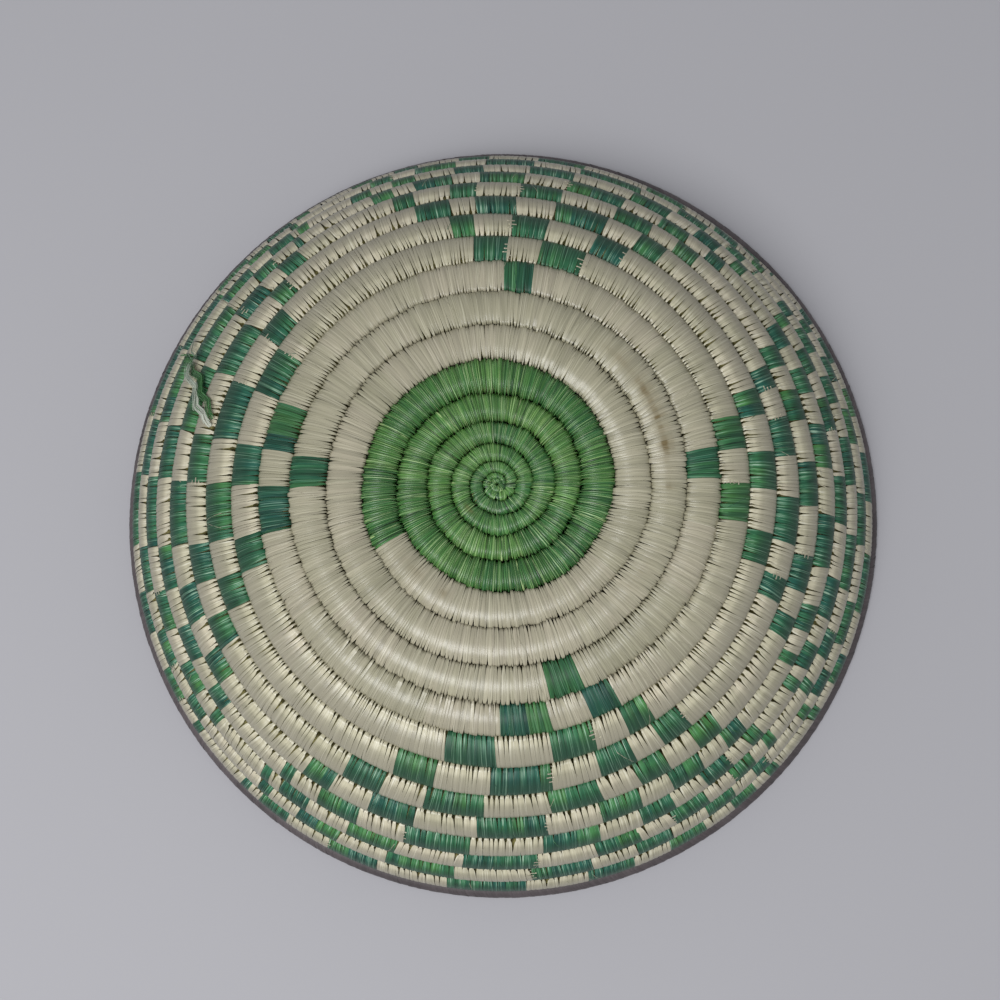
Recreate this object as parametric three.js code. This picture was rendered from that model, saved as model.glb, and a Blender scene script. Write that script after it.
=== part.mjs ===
// Coiled basket bowl, lying mouth down on its rim.
// Millimetres, +Z up, with the origin on the floor under the middle of the rim.
import * as THREE from 'three';

// The coil is one long grass bundle, wound outwards from the middle of the base.
const COIL_PITCH = 10; // thickness of one wrapped turn on the wall
const START_PITCH = 2.2; // thickness of the tapered tip at the middle
const START_RADIUS = 2.7; // inner edge of the first turn
const GROW_TURNS = 5; // turns over which the tip grows to full thickness
const COIL_TURNS = 16.3; // turns from the tip to where the coil runs out at the rim
const END_TAPER = 0.2; // part of the last turn over which the coil thins out
const END_THICKNESS = 3; // thickness at which the bundle is cut off

// The profile is flat on the base, then bends into a wall that steepens towards the rim.
const WALL_START = 43; // length along the profile where the flat base ends
const SLOPE_LIMIT = THREE.MathUtils.degToRad(79.4); // slope that the wall tends to
const SLOPE_EASE = 70; // length over which it bends most of the way
const LEVEL_START = 60; // from here to the rim the rows are drawn level
const PROFILE_STEP = 0.5;
const PROFILE_END = 175;

// The rim is a thinner bundle, whipped with dark raffia.
const RIM_THICKNESS = 6;
const RIM_OUT = 2.3; // how far its middle lies outside the middle of the wall
const REST_CUT = 0.5; // depth of the flat worn where the rim stands

// Raffia is wrapped round the bundle, and each turn is sewn to the last one.
const COIL_GAP = 0.5; // between neighbouring turns
const WRAP_THICKNESS = 0.7;
const WRAP_CLEARANCE = 0.3; // between the wrap and the bundle
const WRAP_END_GAP = 0.4; // between the wraps of two turns, end to end
const THIN_BORE = 0.62; // the least share of the wrapped size that stays hollow
const THIN_CORE = 0.74; // and the least share of that which is bundle

// Where one wrap takes over from the last, in turns of the coil.
const GREEN_END = 4.58;
const PLAIN_SPLIT = 5.5;
const CHECKS_START = 6.4;
const SHORTEST_WRAP = 0.5; // a shorter stretch at the tip joins the wrap before it

// The cross-section of a turn: a flat-topped six-sided tube, along and off the profile.
const SECTION = [[1, 0], [0.58, 1], [-0.58, 1], [-1, 0], [-0.58, -1], [0.58, -1]];
const INNER_STEPS = 12; // steps in each of the small turns
const OUTER_STEPS = 24; // steps in each of the others
const OUTER_FROM = 4;
const NEIGHBOUR_TURNS = 0.5; // stretches further apart than this are measured against each other

// The knot fills the space inside the first turn.
const KNOT_GAP = 0.5; // to the inner edge of that turn
const KNOT_STOP = 0.35; // part of a step by which its outline stops short of a whole turn

// Two loose ends of raffia on the left wall, as azimuth in degrees, row and lift off the turns.
const TAIL_DIAMETER = 1.4;
const TAIL_SIDES = 8;
const TAIL_STEPS = 20;
const GREEN_TAIL = [
  [165.9, 10.0, 0.2], [164.9, 10.2, 0.8], [163.8, 10.4, 1.0], [162.7, 10.6, 1.0], [161.7, 10.8, 1.0],
  [160.7, 11.05, 1.0], [159.7, 11.3, 1.0], [158.8, 11.55, 1.0], [158.1, 11.8, 1.0], [157.7, 12.05, 1.0],
  [157.3, 12.3, 1.0], [156.8, 12.55, 1.0], [156.3, 12.8, 1.0], [155.8, 13.05, 1.0], [155.3, 13.3, 1.0],
  [155.0, 13.6, 1.0], [155.1, 13.85, 1.0],
];
const CREAM_TAIL = [
  [167.4, 10.0, 0.2], [166.6, 10.25, 0.8], [165.7, 10.5, 1.0], [164.8, 10.7, 1.0], [163.7, 10.9, 1.0],
  [162.6, 11.1, 1.0], [161.6, 11.35, 1.0], [160.6, 11.6, 1.3], [159.4, 11.8, 2.2], [158.2, 12.0, 2.8],
  [157.0, 12.2, 2.8], [155.9, 12.45, 2.1], [154.9, 12.7, 1.3], [154.0, 12.95, 1.0], [153.2, 13.3, 1.0],
  [152.5, 13.65, 1.0], [151.9, 14.0, 1.0],
];

const COLOURS = {
  grass: { color: 0x9c9058, roughness: 0.9, metalness: 0 },
  green: { color: 0x4f8a45, roughness: 0.55, metalness: 0 },
  cream: { color: 0xc9c0a4, roughness: 0.6, metalness: 0 },
  checked: { color: 0x8aa488, roughness: 0.6, metalness: 0 },
  dark: { color: 0x4d434b, roughness: 0.7, metalness: 0 },
};

// Length along the profile from the axis to the inner edge of the coil, after some turns.
function edgeLength(turn) {
  const growth = (COIL_PITCH - START_PITCH) / GROW_TURNS;
  const grown = Math.min(turn, GROW_TURNS);
  const length = START_RADIUS + START_PITCH * grown + 0.5 * growth * grown * grown;
  return length + COIL_PITCH * Math.max(turn - GROW_TURNS, 0);
}

// Length to the outer edge of the coil where the rim takes over, at the azimuth of a turn.
// It grows with the spiral all the way round, and falls back where the coil thins out.
function rimEdge(turn) {
  const round = THREE.MathUtils.euclideanModulo(turn - COIL_TURNS, 1);
  const left = 1 - round;
  const grown = edgeLength(COIL_TURNS) + COIL_PITCH * round;
  const thinned = edgeLength(COIL_TURNS) - COIL_PITCH * left + COIL_PITCH * (left / END_TAPER);
  return Math.min(grown, thinned);
}

// The rim stands level, so the rows of the wall are drawn out or in by a few parts in a hundred.
const RIM_LENGTH = edgeLength(COIL_TURNS) + 0.5 * COIL_PITCH * (1 - END_TAPER);
function levelled(length, turn) {
  const edge = rimEdge(turn);
  const share = THREE.MathUtils.clamp((length - LEVEL_START) / (edge - LEVEL_START), 0, 1);
  return length + share * (RIM_LENGTH - edge);
}

function slopeAt(length) {
  return SLOPE_LIMIT * (1 - Math.exp(-Math.max(length - WALL_START, 0) / SLOPE_EASE));
}

// The profile's radius and depth below the base, added up in small steps along it.
const profile = [{ radius: 0, depth: 0 }];
for (let length = PROFILE_STEP; length <= PROFILE_END; length += PROFILE_STEP) {
  const slope = slopeAt(length - 0.5 * PROFILE_STEP);
  const last = profile[profile.length - 1];
  profile.push({
    radius: last.radius + PROFILE_STEP * Math.cos(slope),
    depth: last.depth + PROFILE_STEP * Math.sin(slope),
  });
}

function profileAt(length) {
  const place = length / PROFILE_STEP;
  const low = profile[Math.floor(place)];
  const high = profile[Math.floor(place) + 1];
  const share = place - Math.floor(place);
  return {
    radius: THREE.MathUtils.lerp(low.radius, high.radius, share),
    depth: THREE.MathUtils.lerp(low.depth, high.depth, share),
    slope: slopeAt(length),
  };
}

// The rim's middle, and the height of the base above the floor that it gives.
const rimHalf = 0.5 * RIM_THICKNESS;
const rimMiddle = profileAt(RIM_LENGTH + 0.5 * COIL_GAP + rimHalf);
const rimReach = Math.max(...SECTION.map(([along, off]) =>
  rimHalf * (along * Math.sin(rimMiddle.slope) - off * Math.cos(rimMiddle.slope))));
const rimRise = RIM_OUT * Math.cos(rimMiddle.slope);
const BASE_HEIGHT = rimMiddle.depth + rimReach - rimRise - REST_CUT;

// A point of the part from its place on the profile: along it, off it and round the axis.
function pointAt(middle, along, off, angle) {
  const radius = middle.radius + along * Math.cos(middle.slope) + off * Math.sin(middle.slope);
  const rise = off * Math.cos(middle.slope) - along * Math.sin(middle.slope);
  const height = BASE_HEIGHT - middle.depth + rise;
  return new THREE.Vector3(radius * Math.cos(angle), radius * Math.sin(angle), height);
}

// The middle and the wrapped half thickness of the coil at a turn.
function coilAt(turn) {
  const inner = levelled(edgeLength(turn), turn);
  const outer = levelled(Math.min(edgeLength(turn + 1), rimEdge(turn)), turn);
  return { middle: profileAt(0.5 * (inner + outer)), half: 0.5 * (outer - inner - COIL_GAP) };
}

const wrapSize = (half) => half;
const boreSize = (half) => Math.max(half - WRAP_THICKNESS, THIN_BORE * half);
const bundleSize = (half) => Math.max(boreSize(half) - WRAP_CLEARANCE, THIN_CORE * boreSize(half));

// The turns at which the coil has a ring of points, closer together on the larger turns.
const COIL_TIP = COIL_TURNS - END_TAPER * (END_THICKNESS / COIL_PITCH);
const stations = [];
for (let step = 0; step < OUTER_FROM * INNER_STEPS; step += 1) {
  stations.push(step / INNER_STEPS);
}
for (let step = OUTER_FROM * OUTER_STEPS; step < COIL_TIP * OUTER_STEPS; step += 1) {
  stations.push(step / OUTER_STEPS);
}
stations.push(COIL_TIP);

function ringAt(turn, size) {
  const { middle, half } = coilAt(turn);
  const reach = size(half);
  const angle = turn * 2 * Math.PI;
  return SECTION.map(([along, off]) => pointAt(middle, along * reach, off * reach, angle));
}

// A ring between two stations lies on the straight stretch that joins them.
function ringBetween(turn, size) {
  const after = stations.findIndex((station) => station >= turn);
  if (stations[after] === turn) {
    return ringAt(turn, size);
  }
  const [low, high] = [stations[after - 1], stations[after]];
  const ends = ringAt(high, size);
  return ringAt(low, size).map((point, side) => point.lerp(ends[side], (turn - low) / (high - low)));
}

function ringsBetween(first, last, size) {
  const inside = stations.filter((station) => station > first && station < last);
  return [first, ...inside, last].map((turn) => ringBetween(turn, size));
}

// One closed surface through rings of points, joined round to the first or capped at both ends.
function surfaceThrough(rings, joined) {
  const sides = rings[0].length;
  const index = [];
  const spans = joined ? rings.length : rings.length - 1;
  for (let span = 0; span < spans; span += 1) {
    const here = span * sides;
    const there = ((span + 1) % rings.length) * sides;
    for (let side = 0; side < sides; side += 1) {
      const next = (side + 1) % sides;
      index.push(here + side, there + next, here + next, here + side, there + side, there + next);
    }
  }
  if (!joined) {
    const end = (rings.length - 1) * sides;
    for (let side = 1; side < sides - 1; side += 1) {
      index.push(0, side, side + 1, end, end + side + 1, end + side);
    }
  }
  const geometry = new THREE.BufferGeometry().setFromPoints(rings.flat());
  geometry.setIndex(index);
  geometry.computeVertexNormals();
  return geometry;
}

// A sleeve runs out along its outside and back along its bore.
function sleeve(first, last) {
  const outside = ringsBetween(first, last, wrapSize);
  const bore = ringsBetween(first, last, boreSize).reverse();
  return surfaceThrough([...outside, ...bore], true);
}

// The least distance between points that lie a turn or so apart on the same winding.
function leastGap(size) {
  const points = stations.flatMap((turn) => ringAt(turn, size).map((point) => ({ turn, point })));
  let least = Infinity;
  for (const near of points) {
    for (const far of points) {
      if (far.turn - near.turn >= NEIGHBOUR_TURNS) {
        least = Math.min(least, near.point.distanceTo(far.point));
      }
    }
  }
  return least;
}

const bowl = new THREE.Group();
bowl.name = 'coiled_basket_bowl';
function addPiece(name, geometry, colour) {
  const mesh = new THREE.Mesh(geometry, new THREE.MeshStandardMaterial(COLOURS[colour]));
  mesh.name = name;
  bowl.add(mesh);
}

// The grass bundle, one unbroken tube from the middle of the base to the rim.
addPiece('foundation_coil', surfaceThrough(ringsBetween(0, COIL_TIP, bundleSize), false), 'grass');
console.log(`least gap of the foundation coil to itself: ${leastGap(bundleSize).toFixed(2)} mm`);
console.log(`least gap of the wrapped coil to itself: ${leastGap(wrapSize).toFixed(2)} mm`);

// The wraps, one for each turn, in the colours that the raffia has there.
function addWraps(name, colour, limits) {
  for (let course = 1; course < limits.length; course += 1) {
    const [first, last] = [limits[course - 1], limits[course]];
    const gap = (turn) => (0.5 * WRAP_END_GAP) / (2 * Math.PI * coilAt(turn).middle.radius);
    const start = first === 0 ? first : first + gap(first);
    const end = last === COIL_TIP ? last : last - gap(last);
    addPiece(`${name}_${String(course).padStart(2, '0')}`, sleeve(start, end), colour);
  }
}
const checkLimits = [];
for (let turn = CHECKS_START; turn < COIL_TIP - SHORTEST_WRAP; turn += 1) {
  checkLimits.push(turn);
}
addWraps('green_wrap', 'green', [0, 1, 2, 3, 4, GREEN_END]);
addWraps('cream_wrap', 'cream', [GREEN_END, PLAIN_SPLIT, CHECKS_START]);
addWraps('checked_wrap', 'checked', [...checkLimits, COIL_TIP]);

// The knot in the middle, whose outline follows the spiral's inner edge.
function centreKnot() {
  const lastStep = INNER_STEPS - KNOT_STOP;
  const { half } = coilAt(0);
  const outline = [];
  for (let step = 0; step <= INNER_STEPS; step += 1) {
    const turn = Math.min(step, lastStep) / INNER_STEPS;
    const radius = edgeLength(turn) - KNOT_GAP;
    const angle = turn * 2 * Math.PI;
    outline.push(new THREE.Vector2(radius * Math.cos(angle), radius * Math.sin(angle)));
  }
  const upright = { depth: 2 * half, bevelEnabled: false };
  const geometry = new THREE.ExtrudeGeometry(new THREE.Shape(outline), upright);
  return geometry.translate(0, 0, BASE_HEIGHT - half);
}
addPiece('centre_knot', centreKnot(), 'green');

// The rim, a level ring that is flat where it stands.
function rimRing() {
  const corners = SECTION.map(([along, off]) =>
    pointAt(rimMiddle, along * rimHalf, RIM_OUT + off * rimHalf, 0));
  const cut = [];
  corners.forEach((corner, side) => {
    const next = corners[(side + 1) % corners.length];
    if (corner.z >= 0) {
      cut.push(corner);
    }
    if ((corner.z < 0) !== (next.z < 0)) {
      cut.push(corner.clone().lerp(next, corner.z / (corner.z - next.z)));
    }
  });
  const axis = new THREE.Vector3(0, 0, 1);
  const rings = [];
  for (let step = 0; step < OUTER_STEPS; step += 1) {
    const angle = (step / OUTER_STEPS) * 2 * Math.PI;
    rings.push(cut.map((corner) => corner.clone().applyAxisAngle(axis, angle)));
  }
  return surfaceThrough(rings, true);
}
addPiece('rim_binding', rimRing(), 'dark');

// Loose ends of raffia that lie on the wall, each from the groove that it comes out of.
function looseEnd(route) {
  const top = 0.5 * (COIL_PITCH - COIL_GAP);
  const points = route.map(([azimuth, row, lift]) => {
    const turn = row + azimuth / 360;
    const angle = THREE.MathUtils.degToRad(azimuth);
    return pointAt(profileAt(levelled(edgeLength(turn), turn)), 0, top + lift, angle);
  });
  const section = [];
  for (let side = 0; side < TAIL_SIDES; side += 1) {
    const corner = new THREE.Vector2(0.5 * TAIL_DIAMETER, 0);
    section.push(corner.rotateAround(new THREE.Vector2(), (side / TAIL_SIDES) * 2 * Math.PI));
  }
  return new THREE.ExtrudeGeometry(new THREE.Shape(section), {
    steps: TAIL_STEPS,
    extrudePath: new THREE.CatmullRomCurve3(points),
  });
}
addPiece('loose_end_green', looseEnd(GREEN_TAIL), 'green');
addPiece('loose_end_cream', looseEnd(CREAM_TAIL), 'cream');

export default bowl;
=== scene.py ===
# %% [markdown]
# # A coiled basket bowl, stitch by stitch
# A coiled basket is one long bundle of grass, wound in a spiral and sewn to itself with raffia.
# Almost everything that the eye sees is a stitch: a flat ribbon that goes once round the bundle.
# So this lesson models one ribbon, sews thousands of copies along a straight line, and then
# carries the whole straight row onto the spiral. The frame holds the bowl's solids, and every
# piece here takes the place of one of them.

# %% Load the frame
import math
import random

import bmesh
import bpy
import numpy as np
from mathutils import Matrix, Vector


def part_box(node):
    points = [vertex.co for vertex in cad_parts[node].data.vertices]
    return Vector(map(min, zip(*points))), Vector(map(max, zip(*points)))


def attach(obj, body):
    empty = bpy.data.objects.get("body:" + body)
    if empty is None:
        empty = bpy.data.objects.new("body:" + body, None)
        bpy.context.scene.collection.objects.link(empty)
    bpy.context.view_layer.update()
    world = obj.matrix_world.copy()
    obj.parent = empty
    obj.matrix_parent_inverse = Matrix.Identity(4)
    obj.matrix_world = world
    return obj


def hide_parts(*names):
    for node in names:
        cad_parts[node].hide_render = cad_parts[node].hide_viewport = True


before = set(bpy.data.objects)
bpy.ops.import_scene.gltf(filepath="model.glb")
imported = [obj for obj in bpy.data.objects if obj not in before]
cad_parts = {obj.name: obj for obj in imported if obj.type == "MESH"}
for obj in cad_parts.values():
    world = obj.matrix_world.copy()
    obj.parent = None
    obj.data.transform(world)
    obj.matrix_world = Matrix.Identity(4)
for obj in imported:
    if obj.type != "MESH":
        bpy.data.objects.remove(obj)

MM = 0.001
scene = bpy.context.scene
scene.view_settings.view_transform = "Standard"
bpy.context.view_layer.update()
print("solids in the frame:", len(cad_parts))

# %% [markdown]
# ## The spiral
# The bundle starts in the middle and grows to its full thickness over five turns. It could be a
# curve, but stitches have to find their places on it, so a formula says where each turn starts.

# %% Measures of the coil
COIL_PITCH = 10 * MM
START_PITCH = 2.2 * MM
START_RADIUS = 2.7 * MM
GROW_TURNS = 5
COIL_TURNS = 16.3


def edge_length(turn):
    """Length along the profile from the axis to the inner edge of the coil."""
    grown = np.minimum(turn, GROW_TURNS)
    growth = (COIL_PITCH - START_PITCH) / GROW_TURNS
    length = START_RADIUS + START_PITCH * grown + 0.5 * growth * grown**2
    return length + COIL_PITCH * np.maximum(turn - GROW_TURNS, 0)


LAST_EDGE = edge_length(COIL_TURNS)
print("length along the profile to the end of the coil, mm:", round(LAST_EDGE / MM, 1))

# %% [markdown]
# ## The profile
# In section the bowl is flat as far as the foot of its wall, and then bends down toward the rim.
# That could be drawn by eye, but a slope that is summed up in small steps gives any point of it.

# %% Profile of the bowl
WALL_START = 43 * MM
SLOPE_LIMIT = math.radians(79.4)
SLOPE_EASE = 70 * MM
PROFILE_STEP = 0.5 * MM
PROFILE_END = 175 * MM

knot_low, knot_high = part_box("centre_knot")
BASE_HEIGHT = 0.5 * (knot_low.z + knot_high.z)


def slope_at(length):
    return SLOPE_LIMIT * (1 - np.exp(-np.maximum(length - WALL_START, 0) / SLOPE_EASE))


profile_lengths = np.arange(0, PROFILE_END, PROFILE_STEP)
profile_slopes = slope_at(profile_lengths[:-1] + 0.5 * PROFILE_STEP)
profile_radii = np.append(0, np.cumsum(PROFILE_STEP * np.cos(profile_slopes)))
profile_depths = np.append(0, np.cumsum(PROFILE_STEP * np.sin(profile_slopes)))


def off_profile(length, turn, along, off):
    """Points at a length of the profile and an azimuth, moved along the profile and off it."""
    slope = slope_at(length)
    radius = np.interp(length, profile_lengths, profile_radii)
    radius = radius + along * np.cos(slope) + off * np.sin(slope)
    height = BASE_HEIGHT - np.interp(length, profile_lengths, profile_depths)
    height = height + off * np.cos(slope) - along * np.sin(slope)
    angle = math.tau * turn
    return np.stack([radius * np.cos(angle), radius * np.sin(angle), height], axis=-1)


print("base above the floor, mm:", round(BASE_HEIGHT / MM, 2))

# %% [markdown]
# ## Level at the rim
# A spiral ends in a step as thick as a row. The maker thins the end and draws the rows of the
# wall together, so that the rim lies level. A cut at the rim would go through stitches, so the
# lengths on the wall are stretched instead, by a share that grows toward the rim.

# %% Rows drawn level with the rim
END_TAPER = 0.2
LEVEL_START = 60 * MM
RIM_LENGTH = LAST_EDGE + 0.5 * COIL_PITCH * (1 - END_TAPER)


def rim_edge(turn):
    """Length to where the rim takes over from the last row, before the rows are levelled."""
    past = np.mod(turn - COIL_TURNS, 1)
    left = 1 - past
    grown = LAST_EDGE + COIL_PITCH * past
    thinned = LAST_EDGE - COIL_PITCH * left + COIL_PITCH * left / END_TAPER
    return np.minimum(grown, thinned)


def levelled(length, turn):
    """The same length once the rows of the wall are drawn level with the rim."""
    edge = rim_edge(turn)
    share = np.clip((length - LEVEL_START) / (edge - LEVEL_START), 0, 1)
    return length + share * (RIM_LENGTH - edge)


print("length along the profile to the rim, mm:", round(RIM_LENGTH / MM, 1))

# %% [markdown]
# ## Places on the coil
# A row is round on the wall, a flat dome on the base, and never quite even. Each piece could be
# bent by itself. Instead one function takes three numbers to a point: the turn, and how far along
# the profile and off it. With that, every later piece can be made straight and flat.

# %% Places on the coil
WOBBLE = 0.12 * MM
WOBBLE_WAVES = [(2.71, 0.3), (4.37, 1.9), (7.13, 4.4)]
WOBBLE_WHOLE = 3
WOBBLE_END = 15.2
COIL_HEIGHT = 0.96
TIP_FROM = 15.5
TIP_HALF = 4 * MM
ROUNDNESS = 0.76
DOME_DROP = 0.42
DOME_TURNS = [0, 4, 5, 6.5, 9.5]
DOME_SHARES = [0.3, 0.45, 0.9, 1.0, 0.0]


def hand_wobble(turn):
    """How far the edge strays, because a bundle laid by hand is never quite even."""
    waves = sum(np.sin(math.tau * count * turn + start) for count, start in WOBBLE_WAVES)
    return WOBBLE * waves * np.clip(turn / WOBBLE_WHOLE, 0, 1) * np.clip(WOBBLE_END - turn, 0, 1)


def coil_limits(turn):
    """Lengths along the profile to the inner and the outer edge of the coil."""
    inner = levelled(edge_length(turn), turn) + hand_wobble(turn)
    outer = levelled(np.minimum(edge_length(turn + 1), rim_edge(turn)), turn) + hand_wobble(turn + 1)
    return inner, outer


def domed(turn, along, off):
    """Off the profile, with the rounded rows of the wall drawn into flat domes on the base."""
    angle = np.arctan2(np.abs(off) ** (1 / ROUNDNESS), np.abs(along) ** (1 / ROUNDNESS))
    dome = 1 - DOME_DROP * np.cos(angle) ** (2 * ROUNDNESS)
    share = np.interp(turn, DOME_TURNS, DOME_SHARES)
    return off + np.sign(off) * share * (dome - np.sin(angle) ** ROUNDNESS)


def on_coil(turn, along, off):
    """Points on the coil, with along and off as shares of half its thickness."""
    inner, outer = coil_limits(turn)
    half = 0.5 * (outer - inner)
    height = COIL_HEIGHT * np.where(turn > TIP_FROM, np.maximum(half, TIP_HALF), half)
    return off_profile(0.5 * (inner + outer), turn, along * half, domed(turn, along, off) * height)


def coil_radius(turn):
    inner, outer = coil_limits(turn)
    return float(np.interp(0.5 * (inner + outer), profile_lengths, profile_radii))


radii = [round(coil_radius(turn) / MM) for turn in range(math.ceil(COIL_TURNS))]
print("radius of the coil by turn, mm:", radii)

# %% [markdown]
# ## The camera
# The photograph looks down on the bowl from about 30 cm away. A constraint could aim the camera,
# but it would hold it upright. With its axes written out, it has the photograph's roll too.

# %% Camera
CAMERA_AZIMUTH = math.radians(8.16)
CAMERA_ELEVATION = math.radians(82.99)
CAMERA_DISTANCE = 296.3 * MM
CAMERA_LENS = 37.8
camera_target = Vector((0.84 * MM, -4.49 * MM, BASE_HEIGHT))


def placed(name, data):
    """A new object in the scene."""
    made = bpy.data.objects.new(name, data)
    scene.collection.objects.link(made)
    return made


backward = Vector((
    math.sin(CAMERA_AZIMUTH) * math.cos(CAMERA_ELEVATION),
    -math.cos(CAMERA_AZIMUTH) * math.cos(CAMERA_ELEVATION),
    math.sin(CAMERA_ELEVATION),
))
level = Vector((math.cos(CAMERA_AZIMUTH), math.sin(CAMERA_AZIMUTH), 0))
upward = backward.cross(level)
image_right = level * math.cos(CAMERA_AZIMUTH) - upward * math.sin(CAMERA_AZIMUTH)
image_up = level * math.sin(CAMERA_AZIMUTH) + upward * math.cos(CAMERA_AZIMUTH)

camera = placed("camera", bpy.data.cameras.new("camera"))
camera.data.lens = CAMERA_LENS
axes = Matrix((image_right, image_up, backward)).transposed()
camera.matrix_world = Matrix.Translation(camera_target + backward * CAMERA_DISTANCE) @ axes.to_4x4()
scene.camera = camera
print("camera at, mm:", [round(place / MM) for place in camera.matrix_world.translation])

# %% [markdown]
# ## Nodes as sums
# A finish is a small graph of nodes. They could be linked one by one, but that is hard to read.
# So one class wraps a node's output, and a sum of two wires adds the Math node by itself.

# %% Wires
MIX_FIRST = 6
MIX_SECOND = 7
MIX_RESULT = 2


def plug(node, sockets):
    """Links a wire to each of a node's sockets, or sets the socket to a plain value."""
    for name, value in sockets.items():
        if isinstance(value, Wire):
            value.tree.links.new(value.socket, node.inputs[name])
        else:
            node.inputs[name].default_value = value


class Wire:
    """An output of a node, which can be used in sums."""

    def __init__(self, tree, socket):
        self.tree = tree
        self.socket = socket

    def node(self, kind, settings, sockets, output=0):
        made = self.tree.nodes.new(kind)
        for name, value in settings.items():
            if name == "stops":
                self.set_stops(made.color_ramp, value)
            else:
                setattr(made, name, value)
        plug(made, sockets)
        return Wire(self.tree, made.outputs[output])

    @staticmethod
    def set_stops(ramp, stops):
        while len(ramp.elements) < len(stops):
            ramp.elements.new(1)
        for element, (position, colour) in zip(ramp.elements, stops):
            element.position = position
            element.color = (*colour, 1)

    def arithmetic(self, operation, first, second):
        return self.node("ShaderNodeMath", {"operation": operation}, {0: first, 1: second})

    def __add__(self, other):
        return self.arithmetic("ADD", self, other)

    def __sub__(self, other):
        return self.arithmetic("SUBTRACT", self, other)

    def __rsub__(self, other):
        return self.arithmetic("SUBTRACT", other, self)

    def __mul__(self, other):
        return self.arithmetic("MULTIPLY", self, other)

    __radd__ = __add__
    __rmul__ = __mul__

    def ramp(self, low, high):
        """0 below low and 1 above high, with a smooth step between them."""
        sockets = {"Value": self, "From Min": low, "From Max": high}
        return self.node("ShaderNodeMapRange", {"interpolation_type": "SMOOTHSTEP"}, sockets)

    def band(self, low, full, fading, high):
        """1 between full and fading, with a smooth step to 0 on either side."""
        return self.ramp(low, full) - self.ramp(fading, high)

    def parts(self):
        return [self.node("ShaderNodeSeparateXYZ", {}, {0: self}, axis) for axis in range(3)]

    def vector(self, x, y, z):
        return self.node("ShaderNodeCombineXYZ", {}, {0: x, 1: y, 2: z})

    def noise(self, place, scale=1.0, detail=2.0):
        sockets = {"Vector": place, "Scale": scale, "Detail": detail}
        return self.node("ShaderNodeTexNoise", {}, sockets)

    def stops(self, stops):
        return self.node("ShaderNodeValToRGB", {"stops": stops}, {0: self})

    def mixed(self, colour, share):
        """This colour mixed with another one."""
        sockets = {0: share, MIX_FIRST: self, MIX_SECOND: (*colour, 1)}
        return self.node("ShaderNodeMix", {"data_type": "RGBA"}, sockets, MIX_RESULT)

    def brightened(self, factor):
        settings = {"operation": "SCALE"}
        return self.node("ShaderNodeVectorMath", settings, {0: self, "Scale": factor})

    def bumped(self, strength, distance):
        """The normal of a surface that has this wire for its relief."""
        sockets = {"Strength": strength, "Distance": distance, "Height": self}
        return self.node("ShaderNodeBump", {}, sockets)


def new_finish(name):
    """A material, its shader, and a wire to start the graph from."""
    material = bpy.data.materials.new(name)
    material.use_nodes = True
    shader = material.node_tree.nodes["Principled BSDF"]
    return material, shader, Wire(material.node_tree, shader.outputs[0])


print("wires are ready")

# %% [markdown]
# ## Raffia
# Raffia is the skin of a palm leaf, torn into ribbons with fine fibres along them. A picture could
# be laid on it, but noise that is drawn out along the ribbon stays sharp from near. Each stitch
# carries four numbers: a seed, so that no two have the same fibres; its tone in the range of dyes;
# how soiled it is; and how far up the wall it lies. The UV map gives the place across the ribbon
# and round the bundle, where 0 and 0.5 lie in the grooves beside the row and 0.25 is on top.

# %% Grain of the raffia
NOISE_MIDDLE = 0.5
STRAND_GRAIN = {"across": 4, "along": 1.5, "shift": 50, "layer": 71}
FIBRE_GRAIN = {"across": 8, "along": 3, "shift": 90, "layer": 37}
BLOTCHES_ALONG = 5
BLOTCHES_LAYER = 23
BLOTCHES_TONE = 3


def fine_grain(start, across, along, seed, grain):
    """Noise that is drawn out along the ribbon and differs from stitch to stitch."""
    sideways = across * grain["across"] + seed * grain["shift"]
    return start.noise(start.vector(sideways, along * grain["along"], seed * grain["layer"]))


def blotched(start, along, seed, tone):
    """Noise for dye that took unevenly."""
    return start.noise(start.vector(along * BLOTCHES_ALONG, seed * BLOTCHES_LAYER, tone * BLOTCHES_TONE))


print("strands and fibres across a ribbon:", STRAND_GRAIN["across"], FIBRE_GRAIN["across"])

# %% [markdown]
# ## A raffia finish
# On the wall the tips of the stitches get a painted highlight, and their lower halves, which face
# down, a painted shade. Fine glints along the fibres are painted highlights too, strongest on the
# tips. A few rows of the base have a thin line of brown soil. All of it could be painted by hand,
# but as masks round the ribbon it falls in the right place on every stitch.

# %% Raffia finish
# Ramps round the stitch: where the wall tips get a painted highlight, and where the lower halves of the
# wall stitches get a painted shade.
TIPS = (0.3, 0.38)
UNSHADED = (0.23, 0.34)
BLOTCH_STRENGTH = 0.4
TIP_HIGHLIGHT = 0.5
# How strongly the lower halves of the wall stitches take the painted shade colour.
LOWER_SHADE = 0.8
# Painted highlights: glints along the fibres, on the base rows and more on the wall tips.
GLINTS_IN_STRANDS = (0.5, 0.68)
GLINTS_IN_FIBRES = (0.45, 0.6)
TIP_GLINTS = 1.5
ROW_GLINTS = 0.5
SOIL_COLOUR = (0.15, 0.11, 0.045)
SOIL_STRAYS = 0.03
SOIL_HALO = (0.17, 0.26, 0.27, 0.36)
SOIL_CORE = (0.24, 0.265, 0.275, 0.3)
SOIL_SHARE = 0.5
STRAND_SOIL = 0.3
STITCH_SOIL = 0.5
FIBRE_ROUGHNESS = 0.3
FIBRE_RELIEF = 0.5
RELIEF_STRENGTH = 0.3
RELIEF_HEIGHT = 0.15 * MM


def soiled(soil, along, strands, seed):
    """How much soil shows, in a thin line with a halo that clings to some strands."""
    line = along.band(*SOIL_HALO) * SOIL_SHARE + along.band(*SOIL_CORE) * SOIL_SHARE
    return soil * line * (strands + STRAND_SOIL) * (seed + STITCH_SOIL)


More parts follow.
